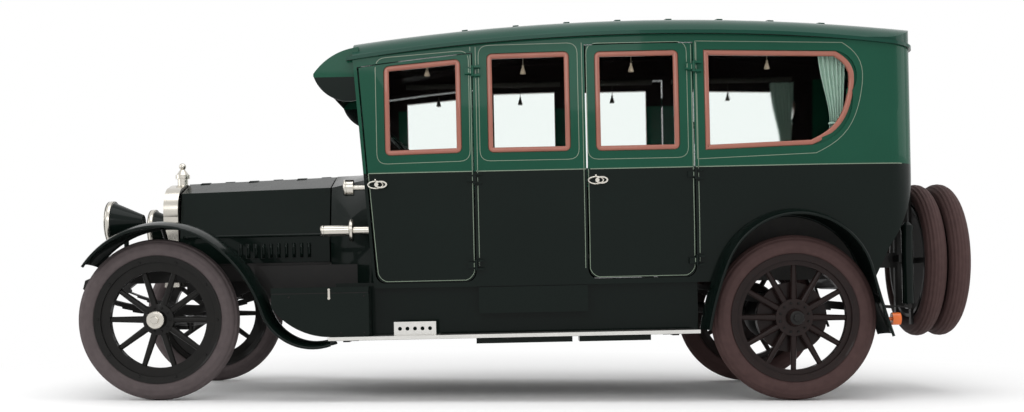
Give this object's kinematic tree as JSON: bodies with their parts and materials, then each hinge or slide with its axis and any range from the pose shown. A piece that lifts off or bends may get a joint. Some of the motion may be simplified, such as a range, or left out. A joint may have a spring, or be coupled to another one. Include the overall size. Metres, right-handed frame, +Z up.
{
  "type": "four-door sedan",
  "caption": "Tall closed car with spoked wheels, open fenders, running boards, opening doors, engine cover and toolbox, steered front wheels and spare tyres at the tail.",
  "frame": {"origin": "centre of the overall box at ground level", "axes": "+X forward, +Y to the car's left, +Z up"},
  "size_m": [5.2704, 1.76, 2.2488],
  "materials": {
    "green_paint": "gloss",
    "dark_paint": "gloss",
    "black_enamel": "gloss",
    "nickel": "polished",
    "aluminium": "satin",
    "iron": "matte",
    "glass": "clear",
    "rubber": "matte",
    "spokes_front": "painted",
    "spokes_rear": "painted",
    "cloth": "soft",
    "floor_mat": "soft",
    "orange_lens": "gloss"
  },
  "bodies": {
    "car": {"air_springs": "black_enamel", "body_back": "green_paint", "body_side_left": "green_paint", "body_side_right": "green_paint", "cowl": "dark_paint", "cowl_lamps": "black_enamel", "engine": "iron", "exhaust": "iron", "fixed_glass": "glass", "floor": "floor_mat", "frame": "iron", "front_axle": "iron", "front_fenders": "black_enamel", "fuel_tank": "iron", "horn": "nickel", "lamps": "black_enamel", "radiator_core": "iron", "radiator_shell": "nickel", "rear_axle": "iron", "rear_fenders": "black_enamel", "roof": "green_paint", "running_boards": "aluminium", "seats": "cloth", "spare_tyres": "rubber", "splash_aprons": "dark_paint", "springs": "iron", "steering_column": "black_enamel", "sun_visor": "green_paint", "tail_lamp": "orange_lens", "toolbox": "dark_paint", "windshield_frame": "green_paint"},
    "left_knuckle": {"knuckle_left": "iron"},
    "right_knuckle": {"knuckle_right": "iron"},
    "track_rod": {"tie_rod": "iron"},
    "front_left_wheel": {"wheel_front_left": "spokes_front", "tyre_front_left": "rubber"},
    "front_right_wheel": {"wheel_front_right": "spokes_front", "tyre_front_right": "rubber"},
    "rear_left_wheel": {"wheel_rear_left": "spokes_rear", "tyre_rear_left": "rubber"},
    "rear_right_wheel": {"wheel_rear_right": "spokes_rear", "tyre_rear_right": "rubber"},
    "front_left_door": {"door_front_left": "green_paint", "door_glass_front_left": "glass"},
    "front_right_door": {"door_front_right": "green_paint", "door_glass_front_right": "glass"},
    "rear_left_door": {"door_rear_left": "green_paint", "door_glass_rear_left": "glass"},
    "rear_right_door": {"door_rear_right": "green_paint", "door_glass_rear_right": "glass"},
    "left_engine_cover": {"engine_cover_left": "dark_paint"},
    "right_engine_cover": {"engine_cover_right": "dark_paint"},
    "box_lid": {"toolbox_lid": "dark_paint"},
    "hand_wheel": {"steering_wheel": "black_enamel"}
  },
  "joints": [
    {"name": "steer_left", "type": "hinge", "parent": "car", "child": "left_knuckle", "pos_m": [2.0975, 0.6, 0.458], "axis": [0, 0, 1], "range_deg": [-30, 30]},
    {"name": "steer_right", "type": "hinge", "parent": "car", "child": "right_knuckle", "pos_m": [2.0975, -0.6, 0.458], "axis": [0, 0, 1], "range_deg": [-30, 30]},
    {"name": "track_rod_pivot", "type": "hinge", "parent": "left_knuckle", "child": "track_rod", "pos_m": [1.9475, 0.6, 0.432], "axis": [0, 0, 1], "range_deg": [-30, 30]},
    {"name": "spin_front_left", "type": "hinge", "parent": "left_knuckle", "child": "front_left_wheel", "pos_m": [2.0975, 0.711, 0.458], "axis": [0, 1, 0], "continuous": true},
    {"name": "spin_front_right", "type": "hinge", "parent": "right_knuckle", "child": "front_right_wheel", "pos_m": [2.0975, -0.711, 0.458], "axis": [0, 1, 0], "continuous": true},
    {"name": "spin_rear_left", "type": "hinge", "parent": "car", "child": "rear_left_wheel", "pos_m": [-1.5095, 0.711, 0.47], "axis": [0, 1, 0], "continuous": true},
    {"name": "spin_rear_right", "type": "hinge", "parent": "car", "child": "rear_right_wheel", "pos_m": [-1.5095, -0.711, 0.47], "axis": [0, 1, 0], "continuous": true},
    {"name": "door_front_left_hinge", "type": "hinge", "parent": "car", "child": "front_left_door", "pos_m": [0.30344, 0.75, 1.23774], "axis": [0.0209, 0, 0.9998], "range_deg": [0, 75]},
    {"name": "door_front_right_hinge", "type": "hinge", "parent": "car", "child": "front_right_door", "pos_m": [0.30344, -0.75, 1.23774], "axis": [-0.0209, 0, -0.9998], "range_deg": [0, 75]},
    {"name": "door_rear_left_hinge", "type": "hinge", "parent": "car", "child": "rear_left_door", "pos_m": [-0.94929, 0.75, 1.26398], "axis": [0.0209, 0, 0.9998], "range_deg": [0, 75]},
    {"name": "door_rear_right_hinge", "type": "hinge", "parent": "car", "child": "rear_right_door", "pos_m": [-0.94929, -0.75, 1.26398], "axis": [-0.0209, 0, -0.9998], "range_deg": [0, 75]},
    {"name": "engine_cover_left_hinge", "type": "hinge", "parent": "car", "child": "left_engine_cover", "pos_m": [2.09863, 0, 1.27616], "axis": [0.9988, 0, -0.0491], "range_deg": [0, 60]},
    {"name": "engine_cover_right_hinge", "type": "hinge", "parent": "car", "child": "right_engine_cover", "pos_m": [2.09863, 0, 1.27616], "axis": [-0.9988, 0, 0.0491], "range_deg": [0, 60]},
    {"name": "box_lid_hinge", "type": "hinge", "parent": "car", "child": "box_lid", "pos_m": [1.20096, 0.676, 0.63281], "axis": [0.9998, 0, -0.0209], "range_deg": [0, 70]},
    {"name": "hand_wheel_turn", "type": "hinge", "parent": "car", "child": "hand_wheel", "pos_m": [0.71754, 0.33, 1.42911], "axis": [-0.681, 0, 0.7323], "range_deg": [-300, 300]}
  ],
  "couplings": [
    {"joint": "steer_right", "follows": "steer_left", "ratio": 1},
    {"joint": "track_rod_pivot", "follows": "steer_left", "ratio": -1},
    {"joint": "hand_wheel_turn", "follows": "steer_left", "ratio": 10}
  ]
}
